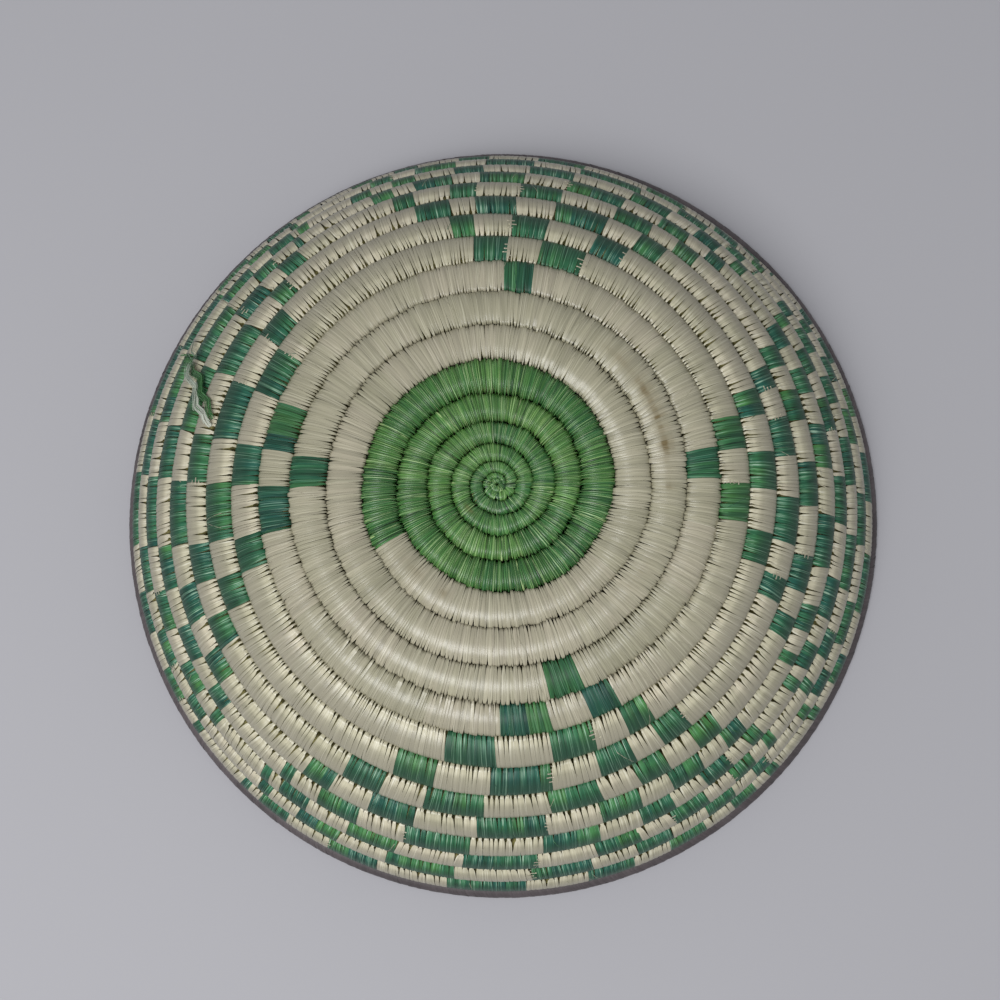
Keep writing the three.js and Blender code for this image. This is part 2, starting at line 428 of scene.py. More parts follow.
def raffia(name, tones, glint_colour, shade_colour, contrast, uneven, glints, roughness, specular):
    """A raffia finish from the colours of its tones, of its painted glints and of its painted shade."""
    material, shader, start = new_finish(name)
    dye = start.node("ShaderNodeAttribute", {"attribute_name": "dye"}, {}, "Vector")
    wall = start.node("ShaderNodeAttribute", {"attribute_name": "dye"}, {}, "Alpha")
    seed, tone, soil = dye.parts()
    across, along, _ = start.node("ShaderNodeUVMap", {"uv_map": "ribbon"}, {}).parts()

    strands = fine_grain(start, across, along, seed, STRAND_GRAIN)
    fibres = fine_grain(start, across, along, seed, FIBRE_GRAIN)
    blotches = blotched(start, along, seed, tone) - NOISE_MIDDLE
    tips = along.ramp(*TIPS)
    # Painted shade: the lower half of a stitch on the wall faces down, away from the light.
    shaded_half = 1 - along.ramp(*UNSHADED)

    light = 1 + (strands + fibres - 2 * NOISE_MIDDLE) * contrast + (seed - NOISE_MIDDLE) * uneven
    # Painted glints: highlights along the fibres, mixed into the colour.
    glint_mask = strands.ramp(*GLINTS_IN_STRANDS) * fibres.ramp(*GLINTS_IN_FIBRES)
    glint_mask = glint_mask * (wall * tips * TIP_GLINTS + ROW_GLINTS)
    colour = (tone + blotches * BLOTCH_STRENGTH).stops(tones)
    # Painted highlight on the wall tips, then painted shade on the lower halves, then painted glints.
    colour = colour.brightened(light + wall * tips * TIP_HIGHLIGHT)
    colour = colour.mixed(shade_colour, wall * shaded_half * LOWER_SHADE)
    colour = colour.mixed(glint_colour, glint_mask * glints)
    colour = colour.mixed(SOIL_COLOUR, soiled(soil, along + blotches * SOIL_STRAYS, strands, seed))

    relief = fibres * FIBRE_RELIEF + strands
    dullness = roughness + (fibres - NOISE_MIDDLE) * FIBRE_ROUGHNESS
    normal = relief.bumped(RELIEF_STRENGTH, RELIEF_HEIGHT)
    plug(shader, {"Base Color": colour, "Roughness": dullness, "Normal": normal,
                  "Specular IOR Level": specular})
    return material


print("tips start at", TIPS[0], "of the way round a stitch")

# %% [markdown]
# ## The dyes
# The bowl has natural cream raffia, a dark blue-green in the checks, a brighter green in the
# middle and a purple brown on the rim. Each is a range of tones, from a strand that took much dye
# to one that took little. One function makes them all, so that they age alike.

# %% Raffia colours
cream_raffia = raffia(
    "cream raffia",
    tones=[(0.0, (0.28, 0.265, 0.178)), (0.5, (0.337, 0.315, 0.222)), (1.0, (0.367, 0.333, 0.245))],
    glint_colour=(0.7, 0.68, 0.57),
    shade_colour=(0.278, 0.258, 0.193),
    contrast=0.85, uneven=0.14, glints=0.4, roughness=0.33, specular=0.58,
)
check_raffia = raffia(
    "check green raffia",
    tones=[(0.0, (0.009, 0.061, 0.043)), (0.5, (0.02, 0.096, 0.041)), (1.0, (0.047, 0.148, 0.038))],
    glint_colour=(0.3, 0.45, 0.33),
    shade_colour=(0.018, 0.053, 0.033),
    contrast=2.2, uneven=0.5, glints=0.7, roughness=0.42, specular=0.26,
)
centre_raffia = raffia(
    "centre green raffia",
    tones=[
        (0.0, (0.011, 0.08, 0.028)), (0.5, (0.04, 0.14, 0.03)),
        (0.9, (0.091, 0.21, 0.046)), (1.0, (0.26, 0.37, 0.15)),
    ],
    glint_colour=(0.5, 0.63, 0.33),
    shade_colour=(0.03, 0.07, 0.03),
    contrast=2.8, uneven=0.5, glints=1.7, roughness=0.32, specular=0.42,
)
dark_raffia = raffia(
    "dark raffia",
    tones=[(0.0, (0.045, 0.036, 0.038)), (0.5, (0.067, 0.054, 0.057)), (1.0, (0.092, 0.076, 0.079))],
    glint_colour=(0.2, 0.17, 0.19),
    shade_colour=(0.08, 0.06, 0.07),
    contrast=0.5, uneven=0.1, glints=0.2, roughness=0.6, specular=0.5,
)
print("raffia finishes:", [finish.name for finish in bpy.data.materials if "raffia" in finish.name])

# %% [markdown]
# ## One ribbon
# A stitch is a ribbon that goes once round the bundle. It could be a curve, but a spun ring is
# easier to shape: a flat diamond gives it sharp edges, and a low ridge to catch the light.

# %% Spun ribbon
RIBBON_SIDES = 4
RIBBON_STEPS = 16
FIRST_ANGLE = math.pi / RIBBON_STEPS
MERGE_DISTANCE = 1e-5
SAME_LINE = 0.1


def spun_ribbon(ridge):
    """A ring with a flat diamond for a section, one unit wide, with its UV map along the ribbon."""
    bm = bmesh.new()
    bmesh.ops.create_circle(bm, segments=RIBBON_SIDES, radius=0.5)
    bmesh.ops.scale(bm, vec=(1, 2 * ridge, 1), verts=bm.verts)
    bmesh.ops.translate(bm, vec=(0, 1, 0), verts=bm.verts)
    bmesh.ops.rotate(bm, matrix=Matrix.Rotation(FIRST_ANGLE, 3, "X"), verts=bm.verts)
    bmesh.ops.spin(bm, geom=bm.verts[:] + bm.edges[:], axis=(1, 0, 0), angle=math.tau,
                   steps=RIBBON_STEPS, use_merge=True)
    bmesh.ops.remove_doubles(bm, verts=bm.verts, dist=MERGE_DISTANCE)
    bmesh.ops.recalc_face_normals(bm, faces=bm.faces)
    places = bm.loops.layers.uv.new("ribbon")
    for face in bm.faces:
        middle = face.calc_center_median()
        turned = math.atan2(middle.z, middle.y) % math.tau
        face.smooth = True
        for loop in face.loops:
            angle = math.atan2(loop.vert.co.z, loop.vert.co.y)
            angle += math.tau * round((turned - angle) / math.tau)
            loop[places].uv = (loop.vert.co.x + 0.5, angle / math.tau)
    for edge in bm.edges:
        first, last = [vert.co.x for vert in edge.verts]
        edge.smooth = abs(first) < SAME_LINE or abs(first - last) > SAME_LINE
    return bm


print("faces in one ribbon:", RIBBON_SIDES * RIBBON_STEPS)

# %% [markdown]
# ## From a ribbon to a stitch
# A stitch goes through a hole in the row before it, where it is drawn together and leaves a dark
# slit beside it. The slit could be cut out, but it is enough to narrow the ribbon near a groove.
# A stitch also reaches over the groove like a hook, and its tip is pinched like a finger nail.

# %% Stitch forms
HOOK_SPREAD = math.radians(45)
NAIL_SPREAD = math.radians(34)


def near_groove(angle, groove, spread, power=1):
    """1 at a groove of the section, down to 0 at an angle on either side of it."""
    away = abs((angle - groove + math.pi) % math.tau - math.pi)
    return max(1 - away / spread, 0) ** power


def rounded(share):
    return math.copysign(abs(share) ** ROUNDNESS, share)


def made_mesh(name, bm):
    """A mesh from a bmesh that has its shape."""
    mesh = bpy.data.meshes.new(name)
    bm.to_mesh(mesh)
    bm.free()
    return mesh


def form_mesh(name, bm):
    """A form that is ready to be copied, with room for the dye of each copy."""
    mesh = made_mesh(name, bm)
    mesh.attributes.new("dye", "FLOAT_COLOR", "POINT")
    return mesh


def ribbon_form(name, ridge, inner_slit, outer_slit, reach=0, rise=0, sway=0, nail=0, power=1):
    """A stitch one unit wide round a bundle one unit thick. A slit has a depth and an angle."""
    bm = spun_ribbon(ridge)
    for vert in bm.verts:
        angle = math.atan2(vert.co.z, vert.co.y)
        lift = math.hypot(vert.co.y, vert.co.z)
        inner = near_groove(angle, math.pi, math.radians(inner_slit[1]), power)
        outer = near_groove(angle, 0, math.radians(outer_slit[1]))
        hooked = near_groove(angle, math.pi, HOOK_SPREAD)
        tip = near_groove(angle, math.pi, NAIL_SPREAD)
        width = 1 - inner_slit[0] * inner - outer_slit[0] * outer - nail * tip
        x = vert.co.x * width + sway * (inner - outer)
        y = rounded(math.cos(angle)) * lift - reach * hooked
        z = rounded(math.sin(angle)) * lift + rise * reach * hooked
        vert.co = (x, y, z)
    return form_mesh(name, bm)


NO_SLIT = (0.0, 45)
BASE_RIDGE = 0.012
plain_form = ribbon_form("plain stitch", BASE_RIDGE, NO_SLIT, NO_SLIT)
print("faces in one stitch:", len(plain_form.polygons))

# %% [markdown]
# ## Stitches of the base and of the wall
# On the base the slits are short triangles at both edges of a row. On the wall they are long and
# on the inner edge alone, so that the stitches end like fingers. One form for each would look
# stamped, so there are a few kinds, from nearly closed to wide open.

# %% Forms for the base and the wall
CENTRE_RIDGE = 0.05
BASE_RISE = 2.0
BASE_HOOKS = [(0.2, 36, 0.05, 0.0), (0.36, 40, 0.1, 0.08), (0.48, 46, 0.07, -0.08), (0.65, 60, 0.16, 0.0)]
OUTER_SLITS = [(0.2, 38), (0.36, 42), (0.5, 50), (0.68, 64)]
FINGER_RIDGE = 0.02
FINGER_RISE = 2.4
FINGER_SPREAD = 88
FINGER_POWER = 0.6
FINGERS = [(0.1, 0.22, 0.0), (0.18, 0.26, 0.08), (0.22, 0.28, -0.08), (0.4, 0.33, 0.0)]


def base_stitches(ridge):
    """Stitches for the base: each kind of hook with each kind of outer slit."""
    forms = []
    for depth, spread, reach, sway in BASE_HOOKS:
        inner_slit = (depth, spread)
        forms.append([ribbon_form("base stitch", ridge, inner_slit, outer_slit, reach, BASE_RISE, sway)
                      for outer_slit in OUTER_SLITS])
    return forms


def finger_stitches(name, slit, reaching, swaying, nail):
    """Stitches for the wall, with their measures as shares of the open fingers."""
    return [ribbon_form(name, FINGER_RIDGE, (slit * depth, FINGER_SPREAD), NO_SLIT, reaching * reach,
                        FINGER_RISE, swaying * sway, nail, FINGER_POWER) for depth, reach, sway in FINGERS]


centre_stitches = base_stitches(CENTRE_RIDGE)
cream_stitches = base_stitches(BASE_RIDGE)
wall_stitches = finger_stitches("wall stitch", slit=1, reaching=1, swaying=1, nail=0.28)
check_stitches = finger_stitches("check stitch", slit=0.6, reaching=0.7, swaying=0.5, nail=0.2)
print("kinds of stitch on the wall:", len(wall_stitches) + len(check_stitches))

# %% [markdown]
# ## Dashes
# At the end of some green checks the cream strand runs on over the row, as short dashes side by
# side. They could be stitches that are turned, but a flat box for each is enough.

# %% Dash forms
DASH_THICKNESS = 0.02
DASH_WIDTH = 0.07
DASH_ANGLES = (95, 110, 124, 138, 152)


def dash_form(angle):
    """A short flat strand along the row, at an angle of its section."""
    bm = bmesh.new()
    bmesh.ops.create_cube(bm, size=1)
    bmesh.ops.scale(bm, vec=(1, DASH_THICKNESS, DASH_WIDTH), verts=bm.verts)
    places = bm.loops.layers.uv.new("ribbon")
    for face in bm.faces:
        for loop in face.loops:
            loop[places].uv = (loop.vert.co.z / DASH_WIDTH + 0.5, loop.vert.co.x)
    bmesh.ops.rotate(bm, matrix=Matrix.Rotation(angle, 3, "X"), verts=bm.verts)
    bmesh.ops.translate(bm, vec=(0, rounded(math.cos(angle)), rounded(math.sin(angle))), verts=bm.verts)
    return form_mesh("dash", bm)


dash_forms = [dash_form(math.radians(angle)) for angle in DASH_ANGLES]
print("dashes side by side:", len(dash_forms))

# %% [markdown]
# ## Sewing a row
# A row is sewn flat: x is the turn of the coil, y is along the profile and z off it. Each stitch
# is a copy of a form, scaled to its width and leaned a little. Copies could be scattered along a
# curve instead, but then each would keep its straight sides, and the rows would gape.


# %% Stamping stitches
def stamp(bm, form, place, finish, dye):
    """Adds a copy of a form to a row that is being sewn."""
    copy = form.copy()
    copy.transform(place)
    copy.polygons.foreach_set("material_index", [finish] * len(copy.polygons))
    copy.attributes["dye"].data.foreach_set("color", list(dye) * len(copy.vertices))
    bm.from_mesh(copy)
    bpy.data.meshes.remove(copy)


def stitch_place(turn, width, lean, size, tilt, stretch=1):
    """Where a stitch goes in the flat row: width and lean are in turns, and tilt lifts one edge."""
    return Matrix((
        (width, lean, 0, turn),
        (0, size * stretch, 0, 0),
        (tilt, 0, size, 0),
        (0, 0, 0, 1),
    ))


print("ready to sew")

# %% [markdown]
# ## Soil, and the height on the wall
# A few places near the middle are soiled, and the height on the wall sets where the painted highlight
# and the painted shade of the wall stitches fall. Soil could be a painted mask, but a stain is simply
# a place along the coil, with a spread and a strength.

# %% Soil and height on the wall
STAINS = [
    (6.06, 0.05, 0.5), (6.035, 0.012, 0.5), (6.066, 0.008, 0.5), (6.092, 0.008, 0.5), (6.125, 0.02, 0.3),
    (5.997, 0.004, 0.4), (5.91, 0.02, 0.25), (1.62, 0.03, 0.5), (4.63, 0.02, 0.3), (4.68, 0.008, 0.4),
]
WALL_FROM = 7.3
WALL_WHOLE = 8.9
DYE_NUMBERS = 4
SOIL_NUMBER = 2
WALL_NUMBER = 3


def stained(turn):
    """How soiled the coil is: each stain fades away on both sides of its place."""
    return sum(strength * np.exp(-(((turn - place) / spread) ** 2))
               for place, spread, strength in STAINS)


def mark_soil_and_wall(mesh, turn):
    """Writes how soiled each vertex is, and how far up the wall it lies."""
    dye = np.empty(DYE_NUMBERS * len(turn), np.float32)
    mesh.attributes["dye"].data.foreach_get("color", dye)
    dye[SOIL_NUMBER::DYE_NUMBERS] = stained(turn)
    # The height on the wall places the painted highlight on the tips and the painted shade below them.
    dye[WALL_NUMBER::DYE_NUMBERS] = np.clip((turn - WALL_FROM) / (WALL_WHOLE - WALL_FROM), 0, 1)
    mesh.attributes["dye"].data.foreach_set("color", dye)


print("stains:", len(STAINS))

# %% [markdown]
# ## Onto the bowl
# When a row is whole, its vertices are carried onto the spiral, which fans the stitches out by
# itself. A curve modifier could bend a row too, but it wouldn't tilt the row with the wall. The
# flat row is a mirror image of the bowl, so its faces are turned round at the end.


# %% Finished pieces
def carry(mesh, onto):
    """Moves the vertices of a flat row onto the bowl."""
    flat = np.empty(3 * len(mesh.vertices), np.float32)
    mesh.vertices.foreach_get("co", flat)
    turn, along, off = flat.reshape(-1, 3).astype(float).T
    if "dye" in mesh.attributes:
        mark_soil_and_wall(mesh, turn)
    mesh.vertices.foreach_set("co", onto(turn, along, off).astype(np.float32).ravel())
    mesh.flip_normals()
    mesh.update()


def finished_piece(name, bm, onto, finishes, nodes):
    """A piece of the bowl from a flat row, in place of its solids."""
    mesh = made_mesh(name, bm)
    carry(mesh, onto)
    for finish in finishes:
        mesh.materials.append(finish)
    piece = placed(name, mesh)
    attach(piece, "root")
    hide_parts(*nodes)
    return piece


row_start = on_coil(0.0, 0.0, 0.0)
print("a flat row starts on the bowl at, mm:", [round(place / MM, 1) for place in row_start])

# %% [markdown]
# ## The pattern
# The checks grow from four starting points. Each time the coil comes round, a motif gains a check
# on both sides, and the colours change places, so that the squares become a stepped triangle. A
# painted picture would cut through stitches, so the pattern is worked out along the coil. The
# lists give the azimuths, in degrees, where each new check starts or ends, as they were read off
# the bowl. The rows also creep, because a turn never holds quite the same number of stitches.

# %% Pattern of the checks
DEGREES = 360
COIL_TIP = 16.29
GREEN_END = 4.58
MOTIFS = [
    {
        "row": 7, "creep": -1.0,
        "ends": [9.6, 16.5, 21.4, 25.1, 28.5, 32.1, 33.6, 35.6],
        "starts": [1.4, -8.7, -16.5, -22.2, -27.4, -30.5, -33.7],
    },
    {
        "row": 7, "creep": -0.55,
        "ends": [88.1, 95.6, 100.1, 106.4, 109.8, 113.1, 116.1],
        "starts": [80.3, 69.2, 61.4, 55.2, 50.0, 45.9, 42.8, 41.7],
    },
    {
        "row": 6, "creep": -0.75,
        "ends": [181.2, 192.1, 198.7, 204.5, 209.7, 214.3, 217.5, 218.5],
        "starts": [172.0, 159.0, 147.5, 140.0, 134.8, 129.4, 127.4, 124.4],
    },
    {
        "row": 6, "creep": -1.1,
        "ends": [293.2, 299.3, 304.1, 309.2, 313.3, 316.5, 318.2, 319.2],
        "starts": [283.8, 270.8, 258.9, 249.7, 241.3, 235.0, 231.7, 229.0],
    },
]


def crept(edges, creep, turned):
    """The edges that a motif has after some turns, each moved on since the row where it began."""
    return [edge + creep * (turned - age) for age, edge in enumerate(edges[: turned + 1])]


def motif_checks(motif, turned):
    """The green checks of a motif on one pass of the coil, as pairs of turns."""
    starts = crept(motif["starts"], motif["creep"], turned)
    edges = starts[::-1] + crept(motif["ends"], motif["creep"], turned)
    checks = []
    for column in range(len(edges) - 1):
        if (turned + column - len(starts) + 1) % 2 == 0:
            low = motif["row"] + turned + edges[column] / DEGREES
            high = motif["row"] + turned + edges[column + 1] / DEGREES
            checks.append((low, high))
    return checks


def stretches():
    """The coil past the green middle, as stretches: start, end and whether it is a green check."""
    checks = []
    for motif in MOTIFS:
        for turned in range(math.ceil(COIL_TIP) - motif["row"] + 1):
            checks += motif_checks(motif, turned)
    found = []
    place = GREEN_END
    for low, high in sorted(checks):
        if low >= COIL_TIP:
            break
        found.append((place, low, False))
        found.append((low, min(high, COIL_TIP), True))
        place = min(high, COIL_TIP)
    found.append((place, COIL_TIP, False))
    return [stretch for stretch in found if stretch[1] > stretch[0]]


print("green checks:", sum(green for _, _, green in stretches()))

# %% [markdown]
# ## Strands and widths
# A strand lasts for some twenty stitches, which share its tone. Stitches are fine in the middle
# and wider up the wall. They could be even, but the eye takes an even row for a machine's. So
# they are drawn at random, from one seed that gives the same bowl each time.

# %% Strands and widths
SEWING_SEED = 27
CENTRE_WIDTH = 0.52 * MM
BASE_WIDTH = 0.98 * MM
CHECK_WIDTH = 1.3 * MM
TOOTH_WIDTH = 1.8 * MM
TEETH_FROM = 7.9
TEETH_WHOLE = 12
SHORTEST_STRAND = 3
TONE_SPREAD = 0.14
draw = random.Random(SEWING_SEED)


def around(spread):
    """A draw of up to a spread on either side of zero."""
    return draw.uniform(-spread, spread)


def strand_tones(count, low, high, strand):
    """A tone for each stitch, which changes where a new strand starts."""
    tones = []
    while len(tones) < count:
        tone = draw.uniform(low, high)
        tones += [tone] * draw.randint(strand // SHORTEST_STRAND, strand)
    return [tone + around(TONE_SPREAD) for tone in tones[:count]]


def stitch_width(turn, green):
    if turn < GREEN_END:
        return CENTRE_WIDTH
    if turn < TEETH_FROM:
        return BASE_WIDTH
    if green:
        return CHECK_WIDTH
    share = min((turn - TEETH_FROM) / (TEETH_WHOLE - TEETH_FROM), 1)
    return BASE_WIDTH + (TOOTH_WIDTH - BASE_WIDTH) * share


print("widest and finest stitch, mm:", TOOTH_WIDTH / MM, CENTRE_WIDTH / MM)

# %% [markdown]
# ## Choosing a stitch
# Where the maker pulled hard the slits are open. Forms could be picked blindly, but open slits
# come in runs, so the choice follows slow waves along the coil, with a little chance on top.

# %% Choice of a stitch
SLIT_WAVES = [(0.3, 3.1, 1), (0.2, 7.3, 2)]
SLIT_MIDDLE = 0.5
SLIT_SPREAD = 0.35
WIDEST_SLIT = 0.999
SLIT_STARTS = (0.4, 2.9)


def openness(turn, start):
    """How open the slits of one edge are, from 0 to 1, which changes along the coil."""
    waves = sum(height * math.sin(math.tau * count * turn + shift * start)
                for height, count, shift in SLIT_WAVES)
    return min(max(SLIT_MIDDLE + waves + around(SLIT_SPREAD), 0), WIDEST_SLIT)


def stitch_form(turn, green, on_wall):
    if on_wall:
        return draw.choice(check_stitches if green else wall_stitches)
    inner, outer = [int(openness(turn, start) * len(OUTER_SLITS)) for start in SLIT_STARTS]
    return (centre_stitches if turn < GREEN_END else cream_stitches)[inner][outer]


print("kinds of stitch on the base:", len(BASE_HOOKS) * len(OUTER_SLITS))

# %% [markdown]
# ## Odd strands
# Handwork leaves a few things out of line: a pale stitch where a new strand begins, fibres that
# have split off, and the dashes. Bump in the finish could hint at them, but they cast small
# shadows, so they are geometry, laid just over the stitches.

# %% Odd strands
OVER_STITCHES = 1.012
PALE_WIDTH = 0.8
PALE_LEAN = 1.2
PALE_TONE = 1.2
STRAY_WIDTH = 0.11
STRAY_LEANS = (0.4, 2.2)
STRAY_TONES = (-0.5, 1.2)
CARRIED_LENGTHS = (1.4 * MM, 2.6 * MM)
CARRIED_SHIFT = 0.25
CARRIED_SHARES = (0.4, 1.1)
CARRIED_TONES = (0.4, 1)


def pale_stitch(bm, turn, step):
    """A stitch of pale raffia over the others, where the maker started a new strand."""
    place = stitch_place(turn, PALE_WIDTH * step, step * around(PALE_LEAN), OVER_STITCHES, 0)
    stamp(bm, plain_form, place, 0, (draw.random(), PALE_TONE, 0, 0))


def stray_fibre(bm, turn, step, finish):
    """A fibre that has split off and lies askew over the stitches."""
    lean = step * draw.choice([-1, 1]) * draw.uniform(*STRAY_LEANS)
    place = stitch_place(turn, STRAY_WIDTH * step, lean, OVER_STITCHES, 0)
    stamp(bm, plain_form, place, finish, (draw.random(), draw.uniform(*STRAY_TONES), 0, 0))


def carried_strands(bm, turn, radius):
    """Short dashes of the cream strand, where it runs on over the end of a green check."""
    length = draw.uniform(*CARRIED_LENGTHS) / (math.tau * radius)
    for form in dash_forms:
        middle = turn + around(CARRIED_SHIFT) * length
        place = stitch_place(middle, length * draw.uniform(*CARRIED_SHARES), 0, OVER_STITCHES, 0)
        stamp(bm, form, place, 0, (draw.random(), draw.uniform(*CARRIED_TONES), 0, 0))


print("width of a stray fibre as a share of a stitch:", STRAY_WIDTH)

# %% [markdown]
# ## A stretch of one colour
# Each stretch of colour holds a whole number of stitches, which keeps the checks' edges where
# they belong. Equal stitches would fit just as well, but uneven ones look sewn. In the middle
# they are finer and more even, and lie more like shingles.

# %% Sewing a stretch
CENTRE_HAND = {"widths": (0.75, 1.25), "breadths": (0.97, 1.12), "ends": (0.86, 1.06), "shingle": 0.035}
OUTER_HAND = {"widths": (0.55, 1.45), "breadths": (0.95, 1.13), "ends": (0.96, 1.07), "shingle": 0.02}
TEETH_SPREAD = 0.3
LEAN_SHARE = 0.25
LEAN_WAVES = 5.3
LEAN_SPREAD = 0.14
SHINGLE_SHARES = (0.7, 1.3)
STITCH_SIZES = (0.998, 1.004)
PALE_FROM = 1.2
PALE_SHARE = 0.02
STRAY_SHARE = 0.05
CREAM_STREAK_SHARE = 0.02
CARRIED_SHARE = 0.22


def sew_stitch(bm, turn, width, step, green, tone, hand):
    """Sews one stitch, with the odd strands that may lie over it."""
    on_wall = turn + around(TEETH_SPREAD) > TEETH_FROM
    lean = step * (LEAN_SHARE * math.sin(math.tau * LEAN_WAVES * turn) + around(LEAN_SPREAD))
    stretch = 1 if on_wall else draw.uniform(*hand["ends"])
    tilt = hand["shingle"] * draw.uniform(*SHINGLE_SHARES)
    breadth = draw.uniform(*hand["breadths"]) * width * step
    place = stitch_place(turn, breadth, lean, draw.uniform(*STITCH_SIZES), tilt, stretch)
    stamp(bm, stitch_form(turn, green, on_wall), place, int(green), (draw.random(), tone, 0, 0))
    if PALE_FROM < turn < GREEN_END and draw.random() < PALE_SHARE:
        pale_stitch(bm, turn, step)
    if draw.random() < STRAY_SHARE:
        stray_fibre(bm, turn, step, int(green))
    if green and draw.random() < CREAM_STREAK_SHARE:
        stray_fibre(bm, turn, step, 0)


def sew_stretch(bm, first, last, green, tones):
    """Sews one stretch of colour with a whole number of stitches of uneven width."""
    middle = 0.5 * (first + last)
    hand = CENTRE_HAND if middle < GREEN_END else OUTER_HAND
    radius = coil_radius(middle)
    count = max(2, round((last - first) * math.tau * radius / stitch_width(middle, green)))
    widths = [draw.uniform(*hand["widths"]) for _ in range(count)]
    step = (last - first) / sum(widths)
    turn = first
    for width, tone in zip(widths, strand_tones(count, *tones)):
        turn += 0.5 * width * step
        sew_stitch(bm, turn, width, step, green, tone, hand)
        turn += 0.5 * width * step
    if green and last > TEETH_FROM and draw.random() < CARRIED_SHARE:
        carried_strands(bm, draw.choice([first, last]), radius)
    return count


print("stray fibres in a hundred stitches:", round(100 * STRAY_SHARE))

# %% [markdown]
# ## The wraps
# The sewing covers the whole coil. It could be one mesh, but each solid of the frame is one turn
# of it, so each turn is one piece here too. A colour has its lowest and highest tone and the
# length of its strands, in stitches.

# %% Wraps
CREAM_SEAM = 5.5
CHECKS_START = 6.4
CHECKED_TURNS = 10
SHORTEST_STRETCH = 1e-6
CENTRE_STRANDS = (0.3, 0.75, 30)
CREAM_STRANDS = (0.2, 0.8, 22)
WALL_STRANDS = (0.2, 0.9, 22)
CHECK_STRANDS = (0.0, 0.8, 10)


def sew_wraps(name, limits, finishes, tones):
    """Sews each wrap between two limits, in the colours of the pattern."""
    total = 0
    for course in range(1, len(limits)):
        bm = bmesh.new()
        low, high = limits[course - 1], limits[course]
        for first, last, green in [(0, GREEN_END, False), *stretches()]:
            first, last = max(first, low), min(last, high)
            if last - first > SHORTEST_STRETCH:
                total += sew_stretch(bm, first, last, green, tones[int(green)])
        node = f"{name}_{course:02d}"
        finished_piece(f"{node}_stitches", bm, on_coil, finishes, [node])
    print(name, "stitches:", total)


green_limits = [*range(math.ceil(GREEN_END)), GREEN_END]
cream_limits = [GREEN_END, CREAM_SEAM, CHECKS_START]
checked_limits = [CHECKS_START + turned for turned in range(CHECKED_TURNS)] + [COIL_TIP]
sew_wraps("green_wrap", green_limits, [centre_raffia], [CENTRE_STRANDS])
sew_wraps("cream_wrap", cream_limits, [cream_raffia], [CREAM_STRANDS])
sew_wraps("checked_wrap", checked_limits, [cream_raffia, check_raffia],
          [WALL_STRANDS, CHECK_STRANDS])

# %% [markdown]
# ## The grass bundle
# A little dry grass shows between the stitches. Every stem could be a strand, but hardly any is
# seen. So the bundle is a straight cylinder, which is bent onto the spiral as the rows were.

# %% Grass bundle
BUNDLE_SIDES = 10
BUNDLE_SIZE = 0.86
BUNDLE_CUTS = 780
SHORTEST_RUN = 0.5
GRASS_COLOURS = [(0.3, (0.1, 0.088, 0.03)), (0.55, (0.22, 0.195, 0.065)), (0.75, (0.36, 0.325, 0.125))]
GRASS_SCALE = 900.0
GRASS_DETAIL = 3.0
GRASS_RELIEF = (0.6, 0.3 * MM)
GRASS_ROUGHNESS = 0.9


def grass(name):
    material, shader, start = new_finish(name)
    place = start.node("ShaderNodeTexCoord", {}, {}, "Object")
    mottle = start.noise(place, GRASS_SCALE, GRASS_DETAIL)
    plug(shader, {"Base Color": mottle.stops(GRASS_COLOURS), "Normal": mottle.bumped(*GRASS_RELIEF),
                  "Roughness": GRASS_ROUGHNESS})
    return material


def cut_along(bm, cuts):
    """Cuts a straight piece into short lengths along x."""
    runs = [edge for edge in bm.edges if abs(edge.verts[0].co.x - edge.verts[1].co.x) > SHORTEST_RUN]
    bmesh.ops.subdivide_edges(bm, edges=runs, cuts=cuts, use_grid_fill=True)


bm = bmesh.new()
bmesh.ops.create_cone(bm, cap_ends=True, segments=BUNDLE_SIDES, radius1=BUNDLE_SIZE, radius2=BUNDLE_SIZE,
                      depth=COIL_TIP)
bmesh.ops.rotate(bm, cent=(0, 0, 0), matrix=Matrix.Rotation(math.radians(90), 3, "Y"), verts=bm.verts)
bmesh.ops.translate(bm, vec=(0.5 * COIL_TIP, 0, 0), verts=bm.verts)
for vert in bm.verts:
    angle = math.atan2(vert.co.z, vert.co.y)
    vert.co.y = BUNDLE_SIZE * rounded(math.cos(angle))
    vert.co.z = BUNDLE_SIZE * rounded(math.sin(angle))
cut_along(bm, BUNDLE_CUTS)
dry_grass = grass("dry grass")
bundle = finished_piece("grass_bundle", bm, on_coil, [dry_grass], ["foundation_coil"])
print("faces in the bundle:", len(bundle.data.polygons))

# %% [markdown]
# ## The knot
# The coil starts from a knot of the same green raffia. It could be traced strand by strand, but
# only its top shows. So it is sewn like a row, in two rings whose stitches reach from the eye in
# the middle to the first row, with a few fibres across them.

# %% Centre knot
KNOT_RIDGE = 0.06
KNOT_INNER_SLIT = (0.3, 60)
KNOT_OUTER_SLIT = (0.5, 60)
KNOT_HALF = 1.35 * MM
KNOT_RINGS = [(0.42, 1.0, 23, 1.0), (0.06, 0.56, 13, 1.08)]
KNOT_WIDTHS = (1.0, 1.3)
KNOT_LEAN = 0.8
KNOT_SIZES = (0.94, 1.06)
KNOT_TILT = 0.1
KNOT_REACHES = (0.92, 1.08)
KNOT_TONES = (0.3, 0.9)


def on_knot(turn, along, off):
    """Points of the knot, with along as a share of the way from its eye to the first row."""
    return off_profile(0, turn, along * coil_limits(turn)[1], off * KNOT_HALF)


def knot_ring(inner, outer, rise):
    """Fits a row between two shares of the way from the eye to the first row."""
    middle = Matrix.Translation((0, 0.5 * (inner + outer), 0))
    return middle @ Matrix.Diagonal((1, 0.5 * (outer - inner), rise, 1))


